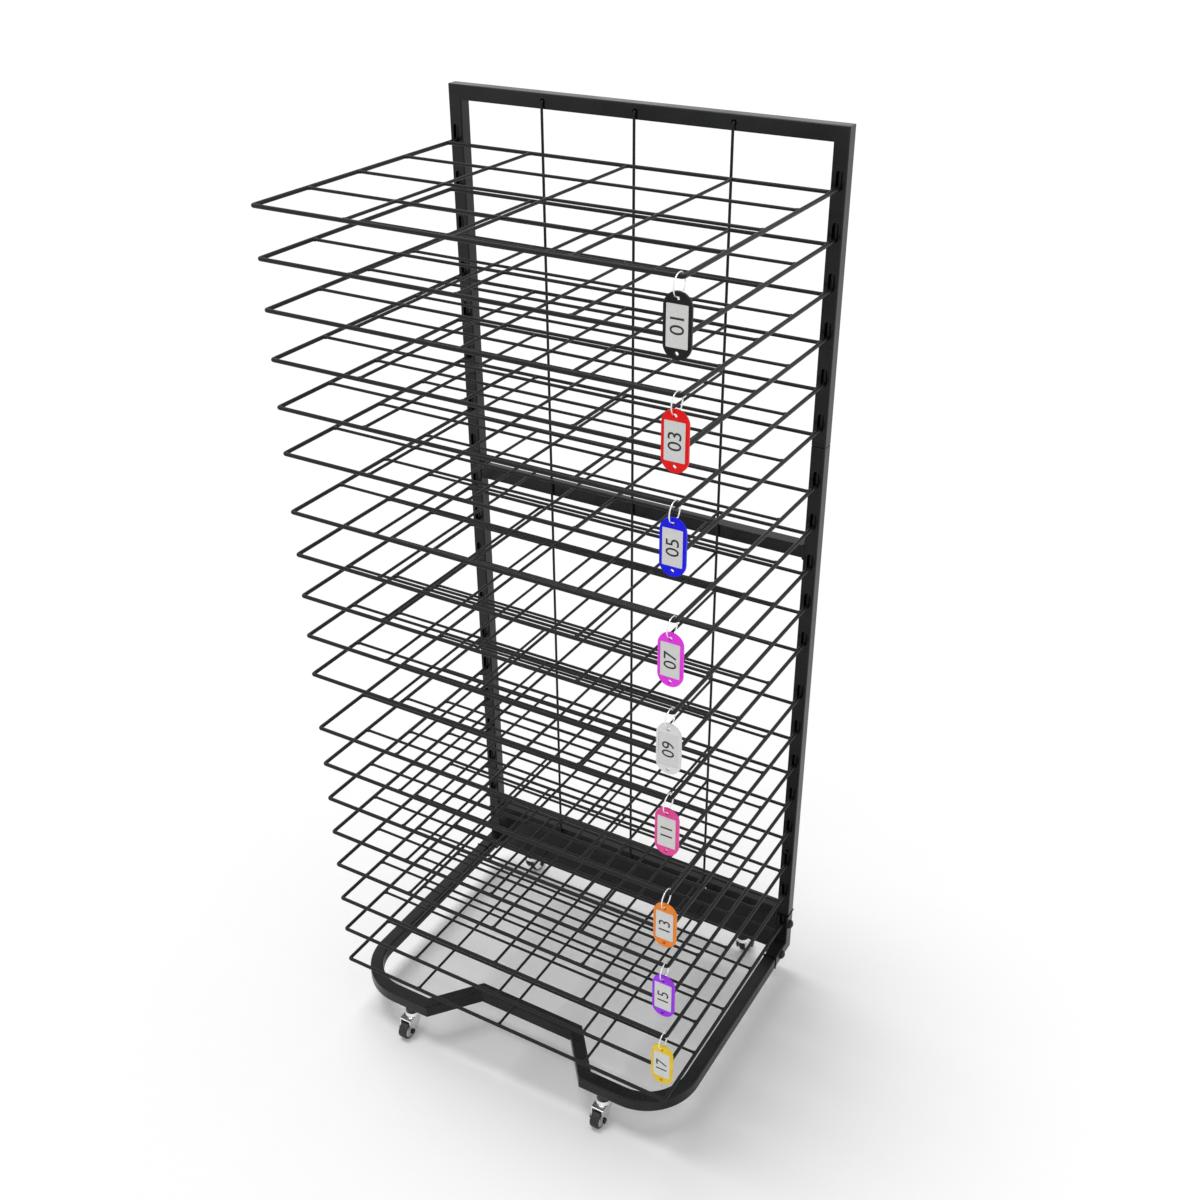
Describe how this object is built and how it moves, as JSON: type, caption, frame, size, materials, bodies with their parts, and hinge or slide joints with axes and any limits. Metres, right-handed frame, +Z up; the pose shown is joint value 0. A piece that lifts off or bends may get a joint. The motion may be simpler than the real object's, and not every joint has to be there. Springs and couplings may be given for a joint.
{
  "type": "art drying rack",
  "caption": "Mobile art drying rack: wire shelves hooked into slotted square-tube uprights over a bent tube base on small swivel casters, with hanging shelf tags.",
  "frame": {"origin": "floor level, midway between the front and rear caster stems, on the left-right centre plane (centre of the bounding box's underside)", "axes": "+Z up, +X to the rack's right seen from the open front, +Y to the back where the uprights stand; the shelves reach out to -Y"},
  "size_m": [0.4682, 0.37, 1.08],
  "materials": {
    "black_powder_coat": "satin",
    "black_wire": "satin",
    "black_screw": "semi-gloss",
    "zinc": "bright zinc plate",
    "ring_steel": "bright",
    "socket_plastic": "matte",
    "wheel_tread": "matte",
    "tag_black": "gloss",
    "tag_red": "gloss",
    "tag_blue": "gloss",
    "tag_magenta": "gloss",
    "tag_white": "gloss",
    "tag_pink": "gloss",
    "tag_orange": "gloss",
    "tag_purple": "gloss",
    "tag_yellow": "gloss"
  },
  "bodies": {
    "frame": {"upper_frame": "black_powder_coat", "lower_frame": "black_powder_coat", "rear_foot_bar": "black_powder_coat", "base_frame": "black_powder_coat", "frame_bolts": "black_screw", "frame_nuts": "black_screw", "caster_sockets": "socket_plastic", "caster_stems": "zinc", "back_wire_left": "black_wire", "back_wire_middle": "black_wire", "back_wire_right": "black_wire"},
    "shelf_01": {"shelf_01": "black_wire"},
    "shelf_02": {"shelf_02": "black_wire"},
    "shelf_03": {"shelf_03": "black_wire"},
    "shelf_04": {"shelf_04": "black_wire"},
    "shelf_05": {"shelf_05": "black_wire"},
    "shelf_06": {"shelf_06": "black_wire"},
    "shelf_07": {"shelf_07": "black_wire"},
    "shelf_08": {"shelf_08": "black_wire"},
    "shelf_09": {"shelf_09": "black_wire"},
    "shelf_10": {"shelf_10": "black_wire"},
    "shelf_11": {"shelf_11": "black_wire"},
    "shelf_12": {"shelf_12": "black_wire"},
    "shelf_13": {"shelf_13": "black_wire"},
    "shelf_14": {"shelf_14": "black_wire"},
    "shelf_15": {"shelf_15": "black_wire"},
    "shelf_16": {"shelf_16": "black_wire"},
    "shelf_17": {"shelf_17": "black_wire"},
    "shelf_18": {"shelf_18": "black_wire"},
    "shelf_19": {"shelf_19": "black_wire"},
    "tag_01": {"tag_01": "tag_black", "tag_ring_01": "ring_steel"},
    "tag_03": {"tag_03": "tag_red", "tag_ring_03": "ring_steel"},
    "tag_05": {"tag_05": "tag_blue", "tag_ring_05": "ring_steel"},
    "tag_07": {"tag_07": "tag_magenta", "tag_ring_07": "ring_steel"},
    "tag_09": {"tag_09": "tag_white", "tag_ring_09": "ring_steel"},
    "tag_11": {"tag_11": "tag_pink", "tag_ring_11": "ring_steel"},
    "tag_13": {"tag_13": "tag_orange", "tag_ring_13": "ring_steel"},
    "tag_15": {"tag_15": "tag_purple", "tag_ring_15": "ring_steel"},
    "tag_17": {"tag_17": "tag_yellow", "tag_ring_17": "ring_steel"},
    "caster_fork_front_left": {"caster_fork_front_left": "zinc", "caster_axle_front_left": "black_screw"},
    "caster_wheel_front_left": {"caster_wheel_front_left": "wheel_tread"},
    "caster_fork_front_right": {"caster_fork_front_right": "zinc", "caster_axle_front_right": "black_screw"},
    "caster_wheel_front_right": {"caster_wheel_front_right": "wheel_tread"},
    "caster_fork_rear_left": {"caster_fork_rear_left": "zinc", "caster_axle_rear_left": "black_screw"},
    "caster_wheel_rear_left": {"caster_wheel_rear_left": "wheel_tread"},
    "caster_fork_rear_right": {"caster_fork_rear_right": "zinc", "caster_axle_rear_right": "black_screw"},
    "caster_wheel_rear_right": {"caster_wheel_rear_right": "wheel_tread"}
  },
  "joints": [
    {"name": "shelf_01_tilt", "type": "hinge", "parent": "frame", "child": "shelf_01", "pos_m": [0, 0.1531, 1.01905], "axis": [-1, 0, 0], "range_deg": [0, 23.5]},
    {"name": "shelf_02_tilt", "type": "hinge", "parent": "frame", "child": "shelf_02", "pos_m": [0, 0.1531, 0.96945], "axis": [-1, 0, 0], "range_deg": [0, 5]},
    {"name": "shelf_03_tilt", "type": "hinge", "parent": "frame", "child": "shelf_03", "pos_m": [0, 0.1531, 0.91985], "axis": [-1, 0, 0], "range_deg": [0, 4]},
    {"name": "shelf_04_tilt", "type": "hinge", "parent": "frame", "child": "shelf_04", "pos_m": [0, 0.1531, 0.87025], "axis": [-1, 0, 0], "range_deg": [0, 5]},
    {"name": "shelf_05_tilt", "type": "hinge", "parent": "frame", "child": "shelf_05", "pos_m": [0, 0.1531, 0.82065], "axis": [-1, 0, 0], "range_deg": [0, 4]},
    {"name": "shelf_06_tilt", "type": "hinge", "parent": "frame", "child": "shelf_06", "pos_m": [0, 0.1531, 0.77105], "axis": [-1, 0, 0], "range_deg": [0, 5]},
    {"name": "shelf_07_tilt", "type": "hinge", "parent": "frame", "child": "shelf_07", "pos_m": [0, 0.1531, 0.70555], "axis": [-1, 0, 0], "range_deg": [0, 7]},
    {"name": "shelf_08_tilt", "type": "hinge", "parent": "frame", "child": "shelf_08", "pos_m": [0, 0.1531, 0.65595], "axis": [-1, 0, 0], "range_deg": [0, 5]},
    {"name": "shelf_09_tilt", "type": "hinge", "parent": "frame", "child": "shelf_09", "pos_m": [0, 0.1531, 0.60635], "axis": [-1, 0, 0], "range_deg": [0, 4]},
    {"name": "shelf_10_tilt", "type": "hinge", "parent": "frame", "child": "shelf_10", "pos_m": [0, 0.1531, 0.55675], "axis": [-1, 0, 0], "range_deg": [0, 5]},
    {"name": "shelf_11_tilt", "type": "hinge", "parent": "frame", "child": "shelf_11", "pos_m": [0, 0.1531, 0.50715], "axis": [-1, 0, 0], "range_deg": [0, 4]},
    {"name": "shelf_12_tilt", "type": "hinge", "parent": "frame", "child": "shelf_12", "pos_m": [0, 0.1531, 0.43515], "axis": [-1, 0, 0], "range_deg": [0, 9]},
    {"name": "shelf_13_tilt", "type": "hinge", "parent": "frame", "child": "shelf_13", "pos_m": [0, 0.1531, 0.38555], "axis": [-1, 0, 0], "range_deg": [0, 7.5]},
    {"name": "shelf_14_tilt", "type": "hinge", "parent": "frame", "child": "shelf_14", "pos_m": [0, 0.1531, 0.33595], "axis": [-1, 0, 0], "range_deg": [0, 5]},
    {"name": "shelf_15_tilt", "type": "hinge", "parent": "frame", "child": "shelf_15", "pos_m": [0, 0.1531, 0.28635], "axis": [-1, 0, 0], "range_deg": [0, 4]},
    {"name": "shelf_16_tilt", "type": "hinge", "parent": "frame", "child": "shelf_16", "pos_m": [0, 0.1531, 0.23675], "axis": [-1, 0, 0], "range_deg": [0, 5]},
    {"name": "shelf_17_tilt", "type": "hinge", "parent": "frame", "child": "shelf_17", "pos_m": [0, 0.1531, 0.18375], "axis": [-1, 0, 0], "range_deg": [0, 4.5]},
    {"name": "shelf_18_tilt", "type": "hinge", "parent": "frame", "child": "shelf_18", "pos_m": [0, 0.1531, 0.13415], "axis": [-1, 0, 0], "range_deg": [0, 5]},
    {"name": "shelf_19_tilt", "type": "hinge", "parent": "frame", "child": "shelf_19", "pos_m": [0, 0.1531, 0.08455], "axis": [-1, 0, 0], "range_deg": [0, 7.5]},
    {"name": "tag_01_swing", "type": "hinge", "parent": "shelf_01", "child": "tag_01", "pos_m": [0.2192, -0.17035, 1.0215], "axis": [-1, 0, 0], "range_deg": [0, 45]},
    {"name": "tag_03_swing", "type": "hinge", "parent": "shelf_03", "child": "tag_03", "pos_m": [0.2192, -0.17035, 0.9223], "axis": [-1, 0, 0], "range_deg": [0, 45]},
    {"name": "tag_05_swing", "type": "hinge", "parent": "shelf_05", "child": "tag_05", "pos_m": [0.2192, -0.17035, 0.8231], "axis": [-1, 0, 0], "range_deg": [0, 45]},
    {"name": "tag_07_swing", "type": "hinge", "parent": "shelf_07", "child": "tag_07", "pos_m": [0.2192, -0.17035, 0.708], "axis": [-1, 0, 0], "range_deg": [0, 45]},
    {"name": "tag_09_swing", "type": "hinge", "parent": "shelf_09", "child": "tag_09", "pos_m": [0.2192, -0.17035, 0.6088], "axis": [-1, 0, 0], "range_deg": [0, 45]},
    {"name": "tag_11_swing", "type": "hinge", "parent": "shelf_11", "child": "tag_11", "pos_m": [0.2192, -0.17035, 0.5096], "axis": [-1, 0, 0], "range_deg": [0, 45]},
    {"name": "tag_13_swing", "type": "hinge", "parent": "shelf_13", "child": "tag_13", "pos_m": [0.2192, -0.17035, 0.388], "axis": [-1, 0, 0], "range_deg": [0, 45]},
    {"name": "tag_15_swing", "type": "hinge", "parent": "shelf_15", "child": "tag_15", "pos_m": [0.2192, -0.17035, 0.2888], "axis": [-1, 0, 0], "range_deg": [0, 45]},
    {"name": "tag_17_swing", "type": "hinge", "parent": "shelf_17", "child": "tag_17", "pos_m": [0.2192, -0.17035, 0.1862], "axis": [-1, 0, 0], "range_deg": [0, 45]},
    {"name": "caster_front_left_swivel", "type": "hinge", "parent": "frame", "child": "caster_fork_front_left", "pos_m": [-0.138, -0.1605, 0.0287], "axis": [0, 0, 1], "continuous": true},
    {"name": "caster_front_left_roll", "type": "hinge", "parent": "caster_fork_front_left", "child": "caster_wheel_front_left", "pos_m": [-0.138, -0.1735, 0.0115], "axis": [1, 0, 0], "continuous": true},
    {"name": "caster_front_right_swivel", "type": "hinge", "parent": "frame", "child": "caster_fork_front_right", "pos_m": [0.138, -0.1605, 0.0287], "axis": [0, 0, 1], "continuous": true},
    {"name": "caster_front_right_roll", "type": "hinge", "parent": "caster_fork_front_right", "child": "caster_wheel_front_right", "pos_m": [0.138, -0.1735, 0.0115], "axis": [1, 0, 0], "continuous": true},
    {"name": "caster_rear_left_swivel", "type": "hinge", "parent": "frame", "child": "caster_fork_rear_left", "pos_m": [-0.166, 0.1605, 0.0287], "axis": [0, 0, 1], "continuous": true},
    {"name": "caster_rear_left_roll", "type": "hinge", "parent": "caster_fork_rear_left", "child": "caster_wheel_rear_left", "pos_m": [-0.166, 0.1735, 0.0115], "axis": [1, 0, 0], "continuous": true},
    {"name": "caster_rear_right_swivel", "type": "hinge", "parent": "frame", "child": "caster_fork_rear_right", "pos_m": [0.166, 0.1605, 0.0287], "axis": [0, 0, 1], "continuous": true},
    {"name": "caster_rear_right_roll", "type": "hinge", "parent": "caster_fork_rear_right", "child": "caster_wheel_rear_right", "pos_m": [0.166, 0.1735, 0.0115], "axis": [1, 0, 0], "continuous": true}
  ]
}
